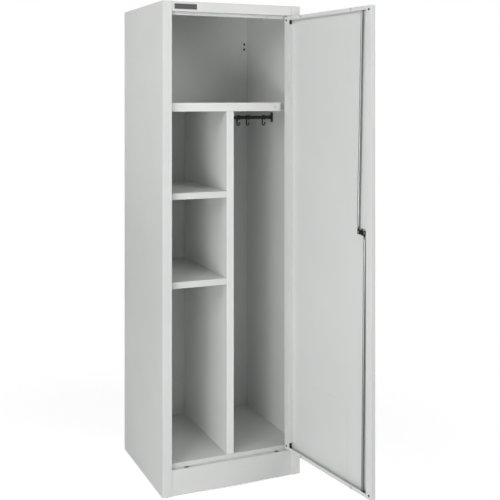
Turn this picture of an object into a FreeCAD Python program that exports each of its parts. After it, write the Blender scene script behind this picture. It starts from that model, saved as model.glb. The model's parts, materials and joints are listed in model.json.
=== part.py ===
import FreeCAD
import Part
import math
import os

V = FreeCAD.Vector
ACROSS = V(1, 0, 0)
INWARD = V(0, 1, 0)
UP = V(0, 0, 1)

# A steel broom cupboard with one hinged door, in millimetres. The origin is the middle of the
# cupboard's footprint at floor level, +X to the right, +Y to the back and +Z up.

# Overall size and sheet metal
cupboard_width = 610.0
cupboard_depth = 500.0
cupboard_height = 1950.0
sheet = 1.0
bend_radius = 1.5
weld_seam = 0.3
fixing_clearance = 0.1
running_clearance = 0.05

# Front frame
stile_width = 40.0
stile_return = 22.0
stile_lip = 10.0
header_height = 40.0
header_top_strip = 12.0
plinth_height = 105.0
stop_setback = 24.0
stop_drop = 12.0
rear_flange = 30.0
lid_flange = 15.0

# Plinth and floor pan
glide_height = 1.5
glide_radius = 11.0
glide_edge_radius = 0.6
glide_stem_radius = 4.0
glide_stem_length = 6.0
corner_plate_thickness = 2.0
corner_plate_depth = 28.0
floor_rise = 14.0
floor_flange = 15.0
plinth_top_flange = 20.0
plinth_bottom_flange = 15.0
joggle_width = 10.0
joggle_step = 0.7
joggle_overlap = 1.5

# Divider and shelves
divider_front_width = 32.0
divider_return = 18.0
interior_setback = 30.0
top_shelf_level = 1549.0
top_shelf_height = 35.0
upper_shelf_level = 1189.0
lower_shelf_level = 835.0
small_shelf_height = 26.0
shelf_lip = 12.0
shelf_left_notch = 50.0
shelf_right_notch = 74.0
shelf_notch_depth = 25.0
shelf_hole_radius = 2.5
shelf_hole_offset = 202.0

# Holes for fixing the cupboard to a wall or to its neighbour, and for labels on the stop
wall_hole_radius = 4.0
wall_hole_inset = 19.0
wall_holes_from_top = 140.5
wall_hole_spacing = 24.0
side_hole_radius = 3.0
side_hole_from_back = 169.0
side_hole_from_top = 25.0
stop_hole_radius = 2.5
stop_hole_offset = 163.0
stop_hole_from_edge = 6.0

# Blank name plate
name_plate_width = 97.0
name_plate_height = 22.5
name_plate_thickness = 0.8
name_plate_corner = 2.0
name_plate_from_side = 49.0

# Door
door_open_angle = 98.0
door_thickness = 20.0
door_side_gap = 2.0
door_end_gap = 5.0
door_corner_radius = 2.0
lock_side_lip = 29.0
hinge_side_lip = 33.0
end_lip = 15.0
channel_foot = 6.0
channel_window = 17.0
lip_hole_radius = 3.5
lip_hole_from_side = 13.5
lip_hole_from_end = 15.0
lip_cap_radius = 4.4
lip_cap_height = 1.0
lip_cap_edge = 0.6
stiffener_width = 222.0
stiffener_height = 298.0
stiffener_thickness = 0.8
stiffener_end_gap = 4.0

# Hinge
pivot_inset = 9.0
pivot_depth = 6.5
pin_radius = 2.5
pin_tip_chamfer = 0.6
hinge_block_width = 25.0
hinge_block_height = 28.0
bush_radius = 5.5
bush_neck_radius = 3.5
bush_end_play = 0.2

# Door buffers
buffer_offset = 153.0
buffer_from_edge = 6.0
buffer_radius = 5.0
buffer_gap = 0.5
buffer_edge_radius = 1.2
buffer_stem_radius = 2.5
buffer_stem_length = 4.0

# Lock
spindle_backset = 64.0
spindle_height = 1072.0
rosette_radius = 26.0
rosette_thickness = 6.0
rosette_edge_radius = 2.0
barrel_radius = 10.0
barrel_length = 5.0
nut_across_flats = 27.0
nut_thickness = 3.0
shaft_radius = 7.0
grip_gap = 0.3
grip_length = 88.0
grip_width = 20.0
grip_thickness = 13.0
grip_edge_radius = 3.0
hub_radius = 15.0
hub_length = 14.0
plug_radius = 6.0
plug_length = 21.0
keyway_width = 1.4
keyway_height = 7.0
keyway_depth = 9.0
square_size = 8.0
cam_screw_radius = 2.5
cam_screw_head_radius = 4.6
cam_screw_length = 12.0
cam_screw_slot_width = 1.0
cam_screw_slot_depth = 0.9
cam_thickness = 2.5
cam_end_radius = 8.0
cam_waist_width = 13.0
cam_gap = 0.4
crank_radius = 18.0
crank_pin_radius = 2.5
crank_head_radius = 4.0
crank_head_height = 1.2
crank_head_edge = 0.6
handle_turn = 90.0

# Locking rods
rod_travel = 20.0
rod_radius = 5.0
rod_axis_depth = 10.0
rod_guide_offset = -5.0
rod_rest_reach = 0.3
rod_tip_chamfer = 1.0
rod_plate_thickness = 1.5
rod_plate_half_height = 7.5
rod_plate_margin = 6.0
rod_plate_corner = 3.0
rod_plate_gap = 0.3
rod_neck_width = 10.0
rod_neck_length = 34.0
slot_clearance = 0.25
guide_clearance = 0.3
guide_length = 14.0
guide_depth = 13.0
guide_height = 12.0
guide_corner = 1.5
guide_neck_radius = 6.5
guide_collar = 0.5
bolt_slot_length = 24.0
bolt_slot_width = 13.0

# Hook rail
rail_height = 15.0
rail_depth = 8.0
rail_wall = 1.2
rail_level = 1483.0
rail_from_front = 250.0
bracket_width = 20.0
bracket_height = 43.0
bracket_thickness = 2.0
bracket_corner = 3.0
collar_length = 9.0
collar_wall = 2.0
rivet_radius = 2.0
rivet_head_radius = 4.0
rivet_head_height = 1.2
rivet_head_edge = 0.8
rivet_spacing = 33.0
left_hook_from_divider = 155.0
middle_hook_from_divider = 200.5
right_hook_from_side = 42.0
slider_length = 14.0
slider_wall = 2.0
slider_corner = 2.0
slider_clearance = 0.4
hook_thickness = 6.0
hook_drop = 30.0
hook_width = 17.5
hook_tip_rise = 15.0

# Places that follow from the sizes above
left = -cupboard_width / 2
right = cupboard_width / 2
front = -cupboard_depth / 2
back = cupboard_depth / 2
lid_underside = cupboard_height - sheet
opening_left = left + stile_width
opening_right = right - stile_width
header_bottom = cupboard_height - header_height
floor_level = plinth_height + floor_rise
wall_hole_level = cupboard_height - wall_holes_from_top
stop_face = front + stop_setback
wall_left = left + sheet
wall_right = right - sheet
back_face = back - 2 * sheet
interior_front = front + interior_setback
interior_back = back - sheet - bend_radius
divider_left = -divider_front_width / 2
divider_right = divider_front_width / 2
top_shelf_underside = top_shelf_level - top_shelf_height
door_left = opening_left + door_side_gap
door_right = opening_right - door_side_gap
door_bottom = plinth_height + door_end_gap
door_top = header_bottom - door_end_gap
door_back = front + door_thickness
pivot_x = door_right - pivot_inset
pivot_y = front + pivot_depth
spindle_x = door_left + spindle_backset
guide_x = spindle_x + rod_guide_offset
rod_y = front + rod_axis_depth
rosette_front = front - rosette_thickness
barrel_end = front + barrel_length
hub_back = rosette_front - grip_gap
hub_front = hub_back - hub_length
grip_front = hub_front - grip_thickness
cam_front = barrel_end + cam_gap
cam_back = cam_front + cam_thickness
upper_plate_front = cam_back + rod_plate_gap
lower_plate_front = upper_plate_front + rod_plate_thickness + rod_plate_gap
rail_y = front + rail_from_front
left_hook_x = divider_left + left_hook_from_divider
middle_hook_x = divider_left + middle_hook_from_divider
right_hook_x = wall_right - right_hook_from_side
upper_rod_rise = door_top - spindle_height
lower_rod_rise = spindle_height - door_bottom
upper_rod_slant = math.atan2(crank_radius - rod_guide_offset, upper_rod_rise)
lower_rod_slant = math.atan2(crank_radius + rod_guide_offset, lower_rod_rise)


def block(x0, x1, y0, y1, z0, z1):
    return Part.makeBox(x1 - x0, y1 - y0, z1 - z0, V(x0, y0, z0))


def cylinder(start, direction, end, radius):
    """A cylinder from a point to where it has gone to the value end along its direction's axis."""
    length = end - start.dot(direction)
    if length < 0:
        return Part.makeCylinder(radius, -length, start, -direction)
    return Part.makeCylinder(radius, length, start, direction)


def upright_cylinder(x, y, z0, z1, radius):
    return cylinder(V(x, y, z0), UP, z1, radius)


def inward_cylinder(x, z, y0, y1, radius):
    return cylinder(V(x, y0, z), INWARD, y1, radius)


def across_cylinder(y, z, x0, x1, radius):
    return cylinder(V(x0, y, z), ACROSS, x1, radius)


def mirrored(shape):
    return shape.mirror(V(0, 0, 0), ACROSS)


def near(a, b):
    return abs(a - b) < 1e-6


def rounded_along(shape, radius, direction, wanted=None):
    """Round the straight edges that run along a direction, or those whose middle is wanted(x, y, z)."""
    chosen = []
    for edge in shape.Edges:
        if not isinstance(edge.Curve, Part.Line):
            continue
        if edge.Curve.Direction.cross(direction).Length > 1e-6:
            continue
        middle = edge.CenterOfMass
        if wanted is None or wanted(middle.x, middle.y, middle.z):
            chosen.append(edge)
    return shape.makeFillet(radius, chosen)


def edges_in_plane(shape, direction, value):
    """The edges that lie in the plane where the coordinate along a direction has this value."""
    chosen = []
    for edge in shape.Edges:
        box = edge.BoundBox
        low = V(box.XMin, box.YMin, box.ZMin).dot(direction)
        high = V(box.XMax, box.YMax, box.ZMax).dot(direction)
        if near(low, value) and near(high, value):
            chosen.append(edge)
    return chosen


def rounded_rim(shape, radius, direction, value):
    return shape.makeFillet(radius, edges_in_plane(shape, direction, value))


def section_point(plane, start, u, v):
    """A point of a section drawn in plan or from the side."""
    if plane == "plan":
        return V(u, v, start)
    return V(start, u, v)


def rounded_face(corners, plane, start):
    """A flat face inside closed corners (u, v, radius), each rounded by its own radius."""
    arcs = []
    ends = []
    count = len(corners)
    for i, (u, v, radius) in enumerate(corners):
        corner = V(u, v, 0)
        if radius <= 0:
            ends.append((corner, corner))
            continue
        after = corners[(i + 1) % count]
        to_last = (V(corners[i - 1][0], corners[i - 1][1], 0) - corner).normalize()
        to_next = (V(after[0], after[1], 0) - corner).normalize()
        half_angle = to_last.getAngle(to_next) / 2
        run = radius / math.tan(half_angle)
        centre = corner + (to_last + to_next).normalize() * (radius / math.sin(half_angle))
        middle = centre + (corner - centre).normalize() * radius
        points = [corner + to_last * run, middle, corner + to_next * run]
        ends.append((points[0], points[2]))
        arcs.append(Part.Arc(*[section_point(plane, start, p.x, p.y) for p in points]).toShape())
    lines = []
    for i in range(count):
        a = ends[i][1]
        b = ends[(i + 1) % count][0]
        if a.distanceToPoint(b) > 1e-6:
            line_ends = [section_point(plane, start, p.x, p.y) for p in (a, b)]
            lines.append(Part.makeLine(*line_ends))
    return Part.Face(Part.Wire(Part.__sortEdges__(arcs + lines)))


def folded_sheet(path, plane, start, end):
    """Sheet bent along a path of (u, v) points, the metal on the left of the path, from start to end."""
    points = [V(u, v, 0) for u, v in path]
    runs = [(b - a).normalize() for a, b in zip(points, points[1:])]
    lefts = [V(-run.y, run.x, 0) for run in runs]
    path_side = [(points[0].x, points[0].y, 0)]
    first = points[0] + lefts[0] * sheet
    metal_side = [(first.x, first.y, 0)]
    for i in range(1, len(runs)):
        turns_left = runs[i - 1].cross(runs[i]).z > 0
        outer = bend_radius + sheet
        inside = points[i] + (lefts[i - 1] + lefts[i]) * (sheet / (1 + lefts[i - 1].dot(lefts[i])))
        path_side.append((points[i].x, points[i].y, outer if turns_left else bend_radius))
        metal_side.append((inside.x, inside.y, bend_radius if turns_left else outer))
    last = points[-1] + lefts[-1] * sheet
    path_side.append((points[-1].x, points[-1].y, 0))
    metal_side.append((last.x, last.y, 0))
    face = rounded_face(path_side + metal_side[::-1], plane, start)
    run_of_sheet = V(0, 0, end - start) if plane == "plan" else V(end - start, 0, 0)
    return face.extrude(run_of_sheet)


# Carcass


def wall_holes():
    """Two pairs of holes through the back panel and the rear flanges behind it."""
    holes = []
    for x in (left + wall_hole_inset, right - wall_hole_inset):
        for side in (-1, 1):
            z = wall_hole_level + side * wall_hole_spacing / 2
            holes.append(inward_cylinder(x, z, back_face - sheet, back + sheet, wall_hole_radius))
    return holes


def neighbour_holes():
    """A hole in each side, for bolting to the next cupboard."""
    y = back - side_hole_from_back
    z = cupboard_height - side_hole_from_top
    return across_cylinder(y, z, left - sheet, right + sheet, side_hole_radius)


def side_panel():
    """Left side with its front stile, stile return and rear flange, bent from one sheet."""
    path = [
        (left + rear_flange, back),
        (left, back),
        (left, front),
        (opening_left, front),
        (opening_left, front + stile_return),
        (opening_left - stile_lip, front + stile_return),
    ]
    panel = folded_sheet(path, "plan", glide_height, lid_underside)
    return panel.cut(wall_holes() + [neighbour_holes()])


def right_side_panel():
    return mirrored(side_panel()).cut(rail_rivet_holes(wall_right, right))


def back_panel():
    """Back sheet in front of the rear flanges."""
    edge = wall_right - bend_radius
    panel = block(-edge, edge, back_face, back - sheet, glide_height, lid_underside)
    return panel.cut(wall_holes())


def bolt_slots(z0, z1):
    """Oval slots for the locking rods, the same on both sides so that a door can be hung either way."""
    slots = []
    radius = bolt_slot_width / 2
    half_run = bolt_slot_length / 2 - radius
    for x in (spindle_x, -spindle_x):
        slot = block(x - half_run, x + half_run, rod_y - radius, rod_y + radius, z0, z1)
        ends = [upright_cylinder(x + side * half_run, rod_y, z0, z1, radius) for side in (-1, 1)]
        slots.append(slot.multiFuse(ends))
    return slots


def bush_holes(z0, z1):
    """Holes for the hinge bushes, also on the side where the spare hinge place is."""
    radius = bush_neck_radius + running_clearance
    return [upright_cylinder(x, pivot_y, z0, z1, radius) for x in (pivot_x, -pivot_x)]


def header():
    """Box-shaped front rail between the stiles, with the stop that the door closes against."""
    path = [
        (front + header_top_strip, cupboard_height),
        (front, cupboard_height),
        (front, header_bottom),
        (stop_face, header_bottom),
        (stop_face, header_bottom - stop_drop),
    ]
    rail = folded_sheet(path, "side", opening_left + weld_seam, opening_right - weld_seam)
    z = header_bottom - stop_hole_from_edge
    holes = []
    for side in (-1, 1):
        x = side * stop_hole_offset
        holes.append(inward_cylinder(x, z, stop_face - sheet, stop_face + 2 * sheet, stop_hole_radius))
    return rail.cut(holes)


def top_panel():
    """Lid with side and rear flanges, welded to the header."""
    lid = block(left, right, front, back, lid_underside, cupboard_height)
    lid = rounded_along(lid, bend_radius + sheet, UP)
    seam_left = opening_left + weld_seam
    strip_end = front + header_top_strip
    lid = lid.cut(block(seam_left, -seam_left, front, strip_end, lid_underside, cupboard_height))
    flange_bottom = lid_underside - lid_flange
    flange_end = wall_right - bend_radius
    flanges = [block(-flange_end, flange_end, back_face - sheet, back_face, flange_bottom, lid_underside)]
    for x in (wall_left, wall_right - sheet):
        flanges.append(block(x, x + sheet, interior_front, interior_back, flange_bottom, lid_underside))
    panel = lid.multiFuse([header()] + flanges).removeSplitter()
    sheet_top = header_bottom + sheet
    frame_holes = bolt_slots(header_bottom, sheet_top) + bush_holes(header_bottom, sheet_top)
    return panel.cut(frame_holes + [neighbour_holes()])


def bottom_panel():
    """Floor pan: the floor, the low step that stops the door, and the ledge between the stiles."""
    flange_bottom = floor_level - floor_flange
    step = [(interior_back, flange_bottom), (interior_back, floor_level), (stop_face, floor_level)]
    seam_left = opening_left + weld_seam
    pan_left = wall_left + fixing_clearance
    middle = folded_sheet(
        step + [(stop_face, plinth_height), (front + weld_seam, plinth_height)], "side", seam_left, -seam_left
    )
    wing = folded_sheet(step + [(stop_face, plinth_height - sheet)], "side", pan_left, seam_left)
    flange_front = stop_face + bend_radius + sheet
    flange_back = interior_back - sheet
    flange_top = floor_level - sheet
    flange = block(pan_left, pan_left + sheet, flange_front, flange_back, flange_bottom, flange_top)
    floor = middle.multiFuse([wing, mirrored(wing), flange, mirrored(flange)]).removeSplitter()
    ledge_underside = plinth_height - sheet
    return floor.cut(bolt_slots(ledge_underside, plinth_height) + bush_holes(ledge_underside, plinth_height))


def plinth_front():
    """Kick plate welded under the ledge, with joggled ends beside the stiles."""
    top = plinth_height - sheet

    def kick_plate(x0, x1, step):
        path = [
            (front + plinth_top_flange, top),
            (front + step, top),
            (front + step, glide_height),
            (front + plinth_bottom_flange, glide_height),
        ]
        return folded_sheet(path, "side", x0, x1)

    end = opening_right - weld_seam
    joggle = end - joggle_width
    right_end = kick_plate(joggle - joggle_overlap, end, joggle_step)
    plate = kick_plate(-joggle, joggle, 0).multiFuse([right_end, mirrored(right_end)]).removeSplitter()
    return plate.cut(bolt_slots(top - sheet, top) + bush_holes(top - sheet, top))


rear_plate_back = back_face - fixing_clearance
glide_x = right - stile_width / 2
glide_front_y = front + stile_return / 2
glide_rear_y = rear_plate_back - corner_plate_depth / 2


def corner_plates():
    """Steel plates welded into the four bottom corners; the glides are pressed into them."""
    z0 = glide_height
    z1 = glide_height + corner_plate_thickness
    wall = sheet + fixing_clearance
    plates = []
    for y, y0, y1 in (
        (glide_front_y, front + wall, front + stile_return - wall),
        (glide_rear_y, rear_plate_back - corner_plate_depth, rear_plate_back),
    ):
        plate = block(opening_right + wall, right - wall, y0, y1, z0, z1)
        plate = rounded_along(plate, bend_radius + fixing_clearance, UP)
        plate = plate.cut(upright_cylinder(glide_x, y, z0, z1, glide_stem_radius + running_clearance))
        plates += [plate, mirrored(plate)]
    return Part.makeCompound(plates)


def floor_glides():
    """Plastic glides that keep the sheet edges off the floor."""
    glides = []
    for y in (glide_front_y, glide_rear_y):
        foot = upright_cylinder(glide_x, y, 0, glide_height, glide_radius)
        foot = rounded_rim(foot, glide_edge_radius, UP, 0)
        stem_top = glide_height + glide_stem_length
        stem = upright_cylinder(glide_x, y, glide_height, stem_top, glide_stem_radius)
        glide = foot.fuse(stem)
        glides += [glide, mirrored(glide)]
    return Part.makeCompound(glides)


def shelf(x1, level, height, left_notch=0.0, right_notch=0.0):
    """A shelf from the left side to x1: sheet folded down all round, with a lip turned in at the bottom.

    The notches cut the front corners back and keep the folded edge around them."""
    x0 = wall_left
    bottom = level - height
    inset = sheet + shelf_lip
    outer = block(x0, x1, interior_front, interior_back, bottom, level)
    hollow = block(
        x0 + sheet, x1 - sheet, interior_front + sheet, interior_back - sheet, bottom + sheet, level - sheet
    )
    opening = block(
        x0 + inset, x1 - inset, interior_front + inset, interior_back - inset, bottom, bottom + sheet
    )
    if left_notch > 0 and right_notch > 0:
        for face, margin in ((outer, 0), (hollow, sheet), (opening, inset)):
            notch_back = interior_front + shelf_notch_depth + margin
            corners = [
                block(x0, x0 + left_notch + margin, interior_front, notch_back, bottom, level),
                block(x1 - right_notch - margin, x1, interior_front, notch_back, bottom, level),
            ]
            if face is outer:
                outer = outer.cut(corners)
            elif face is hollow:
                hollow = hollow.cut(corners)
            else:
                opening = opening.cut(corners)
    outer = rounded_along(outer, bend_radius, ACROSS, lambda x, y, z: near(y, interior_front))
    return outer.cut([hollow, opening])


def top_shelf():
    """Shelf over the full width, its front corners notched back beside the stiles."""
    z = top_shelf_level - top_shelf_height / 2
    holes = []
    for side in (-1, 1):
        x = side * shelf_hole_offset
        holes.append(inward_cylinder(x, z, interior_front, interior_front + sheet, shelf_hole_radius))
    notches = (shelf_left_notch, shelf_right_notch)
    return shelf(wall_right, top_shelf_level, top_shelf_height, *notches).cut(holes)


def divider():
    """Upright panel in the middle, its front edge folded into a channel and its back into a flange."""
    path = [
        (divider_left + rear_flange, back_face),
        (divider_left, back_face),
        (divider_left, interior_front),
        (divider_right, interior_front),
        (divider_right, interior_front + divider_return),
    ]
    panel = folded_sheet(path, "plan", floor_level, top_shelf_underside)
    return panel.cut(rail_rivet_holes(divider_left, divider_left + sheet))


def name_plate():
    """Blank plate on the header."""
    x0 = left + name_plate_from_side
    z0 = header_bottom + (header_height - name_plate_height) / 2
    plate = block(x0, x0 + name_plate_width, front - name_plate_thickness, front, z0, z0 + name_plate_height)
    return rounded_along(plate, name_plate_corner, INWARD)


# Hook rail


def rail_rivet_holes(x0, x1):
    radius = rivet_radius + running_clearance
    places = [rail_level + side * rivet_spacing / 2 for side in (-1, 1)]
    return [across_cylinder(rail_y, z, x0, x1, radius) for z in places]


def rail_block(x0, x1, half_depth, half_height):
    """A box centred on the rail's section, between two values of x given in either order."""
    return block(
        min(x0, x1),
        max(x0, x1),
        rail_y - half_depth,
        rail_y + half_depth,
        rail_level - half_height,
        rail_level + half_height,
    )


def around_rail(x0, x1, margin):
    """A box around the rail's section from x0 to x1, larger than the rail by the margin on each side."""
    return rail_block(x0, x1, rail_depth / 2 + margin, rail_height / 2 + margin)


def hook_rail():
    """Flat tube that the hooks slide on, held by a bracket at each end."""
    x0 = divider_left + sheet + bracket_thickness + weld_seam
    x1 = wall_right - bracket_thickness - weld_seam
    return rounded_along(around_rail(x0, x1, 0), bend_radius, ACROSS).cut(around_rail(x0, x1, -rail_wall))


def rail_bracket(wall_x, direction):
    """Plate riveted to the divider or to the side, with a collar around the rail's end."""
    plate_x = wall_x + direction * bracket_thickness
    plate = rail_block(wall_x, plate_x, bracket_width / 2, bracket_height / 2)
    plate = rounded_along(plate, bracket_corner, ACROSS)
    collar_end = plate_x + direction * collar_length
    bracket = plate.fuse(around_rail(plate_x, collar_end, collar_wall))
    socket = around_rail(plate_x, collar_end, fixing_clearance)
    return bracket.cut([socket] + rail_rivet_holes(wall_x, plate_x))


def rail_rivets():
    """Rivets through both brackets, with domed heads on the rail's side and flush tails."""
    rivets = []
    for wall_x, direction in ((divider_left + sheet, 1), (wall_right, -1)):
        seat_x = wall_x + direction * bracket_thickness
        head_x = seat_x + direction * rivet_head_height
        for side in (-1, 1):
            z = rail_level + side * rivet_spacing / 2
            head = across_cylinder(rail_y, z, seat_x, head_x, rivet_head_radius)
            head = rounded_rim(head, rivet_head_edge, ACROSS, head_x)
            tail_x = wall_x - direction * sheet
            rivets.append(head.fuse(across_cylinder(rail_y, z, tail_x, seat_x, rivet_radius)))
    return Part.makeCompound(rivets)


def hook(x):
    """Moulded hook: a closed slider around the rail and a J below it."""
    x0 = x - slider_length / 2
    x1 = x + slider_length / 2
    slider = rounded_along(around_rail(x0, x1, slider_clearance + slider_wall), slider_corner, ACROSS)
    slider = slider.cut(around_rail(x0, x1, slider_clearance))
    radius = hook_thickness / 2
    bend = hook_width / 2 - radius
    top = rail_level - rail_height / 2 - slider_clearance - slider_wall / 2
    bend_z = rail_level - rail_height / 2 - hook_drop + radius + bend
    tip_z = bend_z + hook_tip_rise - bend - radius
    start = V(x - bend, rail_y, top)
    bend_start = V(x - bend, rail_y, bend_z)
    bend_end = V(x + bend, rail_y, bend_z)
    tip = V(x + bend, rail_y, tip_z)
    centre_line = Part.Wire([
        Part.makeLine(start, bend_start),
        Part.Arc(bend_start, V(x, rail_y, bend_z - bend), bend_end).toShape(),
        Part.makeLine(bend_end, tip),
    ])
    j_shape = centre_line.makePipeShell([Part.Wire(Part.makeCircle(radius, start, -UP))], True, True)
    return slider.multiFuse([j_shape, Part.makeSphere(radius, tip)]).removeSplitter()


# Door, drawn closed


def buffer_places():
    ends = (door_bottom + buffer_from_edge, door_top - buffer_from_edge)
    return [(side * buffer_offset, z) for side in (-1, 1) for z in ends]


def lip_hole_places():
    sides = (door_left + lip_hole_from_side, door_right - lip_hole_from_side)
    ends = (door_bottom + lip_hole_from_end, door_top - lip_hole_from_end)
    return [(x, z) for x in sides for z in ends]


def door_leaf():
    """Door folded as a tray, with lips turned in around its inner face.

    The lip on the hinge side turns down to the skin again, which makes a stiff channel there. It is cut
    out at both ends, where the hinge blocks are put in."""
    inner = door_back - sheet
    skin = front + sheet
    leaf = block(door_left, door_right, front, door_back, door_bottom, door_top)
    leaf = rounded_along(leaf, door_corner_radius, UP, lambda x, y, z: near(y, front))
    leaf = leaf.makeFillet(bend_radius, edges_in_plane(leaf, INWARD, door_back))
    hollow = block(door_left + sheet, door_right - sheet, skin, inner, door_bottom + sheet, door_top - sheet)
    mouth_left = door_left + lock_side_lip
    mouth_right = door_right - hinge_side_lip
    mouth_bottom = door_bottom + end_lip
    mouth_top = door_top - end_lip
    mouth = block(mouth_left, mouth_right, inner, door_back, mouth_bottom, mouth_top)
    web_bottom = mouth_bottom + channel_window
    web_top = mouth_top - channel_window
    web = block(mouth_right, mouth_right + sheet, skin, inner, web_bottom, web_top)
    foot = block(mouth_right - channel_foot, mouth_right, skin, skin + sheet, web_bottom, web_top)
    bend_x = mouth_right + bend_radius
    bend_y = door_back - bend_radius
    bend = block(mouth_right, bend_x, bend_y, door_back, web_bottom, web_top)
    bend = bend.cut(upright_cylinder(bend_x, bend_y, web_bottom, web_top, bend_radius))
    cuts = [hollow.cut([web, foot]), mouth, bend]
    cuts += [inward_cylinder(x, z, inner, door_back, lip_hole_radius) for x, z in lip_hole_places()]
    stem_hole = buffer_stem_radius + running_clearance
    cuts += [inward_cylinder(x, z, inner, door_back, stem_hole) for x, z in buffer_places()]
    cuts.append(inward_cylinder(spindle_x, spindle_height, front, skin, barrel_radius + fixing_clearance))
    for z0 in (door_bottom, door_top - sheet):
        cuts.append(upright_cylinder(guide_x, rod_y, z0, z0 + sheet, guide_neck_radius + fixing_clearance))
        cuts.append(upright_cylinder(pivot_x, pivot_y, z0, z0 + sheet, pin_radius + running_clearance))
    return leaf.cut(cuts)


def lip_caps():
    """Plastic caps snapped into the holes at the lips' corners."""
    caps = []
    for x, z in lip_hole_places():
        head = inward_cylinder(x, z, door_back, door_back + lip_cap_height, lip_cap_radius)
        head = rounded_rim(head, lip_cap_edge, INWARD, door_back + lip_cap_height)
        stem = inward_cylinder(x, z, door_back - sheet, door_back, lip_hole_radius - running_clearance)
        caps.append(head.fuse(stem))
    return Part.makeCompound(caps)


def door_stiffener(z0):
    """Thin sheet glued inside the skin."""
    half = stiffener_width / 2
    y0 = front + sheet
    return block(-half, half, y0, y0 + stiffener_thickness, z0, z0 + stiffener_height)


def door_buffers():
    """Rubber buffers plugged into the lips; they meet the header's stop and the floor's step."""
    tip = stop_face - buffer_gap
    buffers = []
    for x, z in buffer_places():
        head = inward_cylinder(x, z, door_back, tip, buffer_radius)
        head = rounded_rim(head, buffer_edge_radius, INWARD, tip)
        stem = inward_cylinder(x, z, door_back - buffer_stem_length, door_back, buffer_stem_radius)
        buffers.append(head.fuse(stem))
    return Part.makeCompound(buffers)


def hinge_block(flange_z, direction):
    """Plastic block in the door's corner that holds the hinge pin."""
    x1 = door_right - sheet
    end = flange_z + direction * hinge_block_height
    body = block(
        x1 - hinge_block_width, x1, front + sheet, door_back - sheet, min(flange_z, end), max(flange_z, end)
    )
    return body.cut(upright_cylinder(pivot_x, pivot_y, flange_z, end, pin_radius + running_clearance))


def hinge_pin(flange_z, direction, tip_z):
    """Steel pin from the block inside the door to the bush in the frame."""
    inner_end = flange_z + direction * hinge_block_height
    pin = upright_cylinder(pivot_x, pivot_y, inner_end, tip_z, pin_radius)
    return pin.makeChamfer(pin_tip_chamfer, edges_in_plane(pin, UP, tip_z))


def hinge_bush(frame_z, neck_end, flange_end):
    """Flanged plastic bush in the frame; its flange fills the gap to the door."""
    flange = upright_cylinder(pivot_x, pivot_y, frame_z, flange_end, bush_radius)
    neck = upright_cylinder(pivot_x, pivot_y, frame_z, neck_end, bush_neck_radius)
    bore = upright_cylinder(pivot_x, pivot_y, neck_end, flange_end, pin_radius + running_clearance)
    return flange.fuse(neck).cut(bore)


# Lock, drawn closed with the handle unlocked


def spindle_cylinder(y0, y1, radius):
    return inward_cylinder(spindle_x, spindle_height, y0, y1, radius)


def spindle_block(half_width, half_height, y0, y1):
    z0 = spindle_height - half_height
    return block(spindle_x - half_width, spindle_x + half_width, y0, y1, z0, z0 + 2 * half_height)


def bar_with_round_ends(half_run, radius, half_width, y0, y1):
    """A flat bar across the spindle with a round end on each side."""
    ends = []
    for side in (-1, 1):
        ends.append(inward_cylinder(spindle_x + side * half_run, spindle_height, y0, y1, radius))
    return spindle_block(half_run, half_width, y0, y1).multiFuse(ends).removeSplitter()


def lock_rosette():
    """Round plate outside, with the barrel that passes through the skin."""
    disc = spindle_cylinder(rosette_front, front, rosette_radius)
    disc = rounded_rim(disc, rosette_edge_radius, INWARD, rosette_front)
    barrel = spindle_cylinder(front, barrel_end, barrel_radius)
    bore = spindle_cylinder(rosette_front, barrel_end, shaft_radius + running_clearance)
    return disc.fuse(barrel).cut(bore)


def lock_nut():
    """Hexagon nut that clamps the rosette to the skin."""
    y0 = front + sheet
    centre = V(spindle_x, y0, spindle_height)
    corner_radius = nut_across_flats / math.sqrt(3)
    angles = [math.radians(60 * i) for i in range(7)]
    corners = [centre + V(math.cos(a), 0, math.sin(a)) * corner_radius for a in angles]
    nut = Part.Face(Part.makePolygon(corners)).extrude(INWARD * nut_thickness)
    return nut.cut(spindle_cylinder(y0, y0 + nut_thickness, barrel_radius + running_clearance))


def cam_screw_body(clearance):
    """Countersunk screw into the handle's square end; with a clearance it is the hole for it."""
    head_radius = cam_screw_head_radius + clearance
    shank_radius = cam_screw_radius + clearance
    seat = V(spindle_x, cam_back, spindle_height)
    head = Part.makeCone(head_radius, shank_radius, head_radius - shank_radius, seat, -INWARD)
    return head.fuse(spindle_cylinder(cam_back - cam_screw_length, cam_back, shank_radius))


def cam_screw():
    slot_y = cam_back - cam_screw_slot_depth
    slot = spindle_block(cam_screw_head_radius, cam_screw_slot_width / 2, slot_y, cam_back)
    return cam_screw_body(0).cut(slot)


def turn_handle():
    """Wing handle with its shaft and the square end that drives the cam; the wing stands upright."""
    half_run = (grip_length - grip_width) / 2
    grip = bar_with_round_ends(half_run, grip_width / 2, grip_width / 2, grip_front, hub_front)
    grip = rounded_rim(grip, grip_edge_radius, INWARD, grip_front)
    grip.rotate(V(spindle_x, grip_front, spindle_height), INWARD, 90)
    hub = spindle_cylinder(hub_front, hub_back, hub_radius)
    shaft = spindle_cylinder(hub_back, barrel_end, shaft_radius)
    square = spindle_block(square_size / 2, square_size / 2, barrel_end, cam_back)
    plug_end = grip_front + plug_length + grip_gap
    plug_hole = spindle_cylinder(grip_front, plug_end, plug_radius + running_clearance)
    return grip.multiFuse([hub, shaft, square]).cut([plug_hole, cam_screw_body(running_clearance)])


def key_plug():
    """Turning core of the lock in the handle, with an open keyway."""
    plug = spindle_cylinder(grip_front, grip_front + plug_length, plug_radius)
    return plug.cut(spindle_block(keyway_width / 2, keyway_height / 2, grip_front, grip_front + keyway_depth))


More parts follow.
